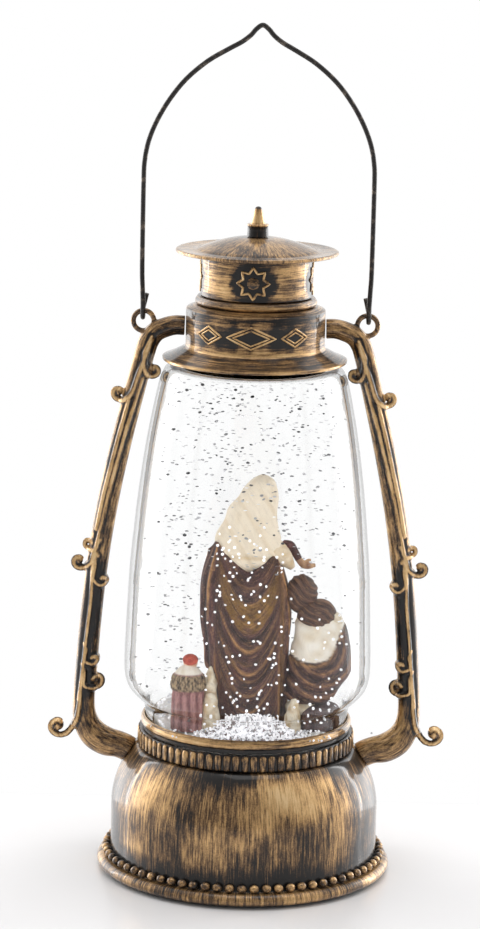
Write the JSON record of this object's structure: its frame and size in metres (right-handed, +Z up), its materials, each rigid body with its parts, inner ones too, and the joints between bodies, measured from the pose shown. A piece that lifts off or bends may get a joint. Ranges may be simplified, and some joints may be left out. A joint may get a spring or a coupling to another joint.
{
  "type": "led lantern",
  "caption": "Battery lantern: a water-filled clear tank between an antique bronze base and top, with scrolled side arms and a swinging wire bail.",
  "frame": {"origin": "middle of the base on the surface that the lantern stands on", "axes": "+Z up, +X towards the right arm as seen from the front, +Y to the back"},
  "size_m": [0.1488, 0.11, 0.3165],
  "materials": {
    "bronze": "dark antique bronze paint over plastic, gold brushed on the raised edges, satin lacquer",
    "bail_wire": "dark bronze painted steel wire",
    "clear": "clear polished acrylic",
    "water": "clear water with glitter",
    "black_rubber": "matte",
    "black_plastic": "fine matte texture",
    "white_plastic": "smooth",
    "steel": "plain zinc plated steel",
    "ferrite": "matte dark grey ferrite",
    "circuit_board": "green solder mask",
    "painted_resin": "hand painted cast resin",
    "ivory_resin": "painted cast resin, ivory with brown washes",
    "cell": "plain shrink sleeve over steel",
    "lead_cover": "soft insulation"
  },
  "bodies": {
    "lantern": {"base_shell": "bronze", "bead_ring": "bronze", "gadroon_ring": "bronze", "tank_bezel": "bronze", "collar": "bronze", "neck_ring": "bronze", "chimney": "bronze", "cap": "bronze", "finial": "bronze", "right_arm": "bronze", "left_arm": "bronze", "tank": "clear", "water_fill": "water", "tank_stopper": "clear", "tank_gasket": "black_rubber", "figure_ground": "ivory_resin", "standing_figure": "painted_resin", "kneeling_figure": "painted_resin", "child_figure": "painted_resin", "impeller_pin": "steel", "motor_can": "steel", "motor_bracket": "black_plastic", "motor_screw_1": "steel", "motor_screw_2": "steel", "bracket_screw_1": "steel", "bracket_screw_2": "steel", "bracket_screw_3": "steel", "light_board": "circuit_board", "led_1": "white_plastic", "led_2": "white_plastic", "led_3": "white_plastic", "light_lead": "lead_cover", "motor_lead": "lead_cover", "control_board": "circuit_board", "bottom_cover": "black_plastic", "cover_screw_1": "steel", "cover_screw_2": "steel", "cover_screw_3": "steel", "battery_1": "cell", "battery_2": "cell", "battery_3": "cell", "contact_first": "steel", "contact_front_pair": "steel", "contact_rear_pair": "steel", "contact_last": "steel", "switch_body": "black_plastic", "foot_pad_1": "black_rubber", "foot_pad_2": "black_rubber", "foot_pad_3": "black_rubber", "foot_pad_4": "black_rubber"},
    "bail": {"bail": "bail_wire"},
    "drive": {"motor_shaft": "steel", "drive_carrier": "black_plastic", "drive_magnet": "ferrite"},
    "stirrer": {"impeller": "white_plastic", "impeller_magnet": "ferrite"},
    "switch": {"switch_knob": "white_plastic"},
    "door": {"battery_door": "black_plastic"}
  },
  "joints": [
    {"name": "bail_swing", "type": "hinge", "parent": "lantern", "child": "bail", "pos_m": [0, 0, 0.21065], "axis": [1, 0, 0], "range_deg": [-135, 135]},
    {"name": "drive_spin", "type": "hinge", "parent": "lantern", "child": "drive", "pos_m": [0, 0, 0.0463], "axis": [0, 0, 1], "continuous": true},
    {"name": "stirrer_spin", "type": "hinge", "parent": "lantern", "child": "stirrer", "pos_m": [0, 0, 0.0528], "axis": [0, 0, 1], "continuous": true},
    {"name": "switch_slide", "type": "slide", "parent": "lantern", "child": "switch", "axis": [1, 0, 0], "range_m": [0, 0.005]},
    {"name": "door_swing", "type": "hinge", "parent": "lantern", "child": "door", "pos_m": [0, -0.0217, 0.0024], "axis": [-1, 0, 0], "range_deg": [0, 95]}
  ],
  "couplings": [
    {"joint": "stirrer_spin", "follows": "drive_spin", "ratio": 1}
  ]
}
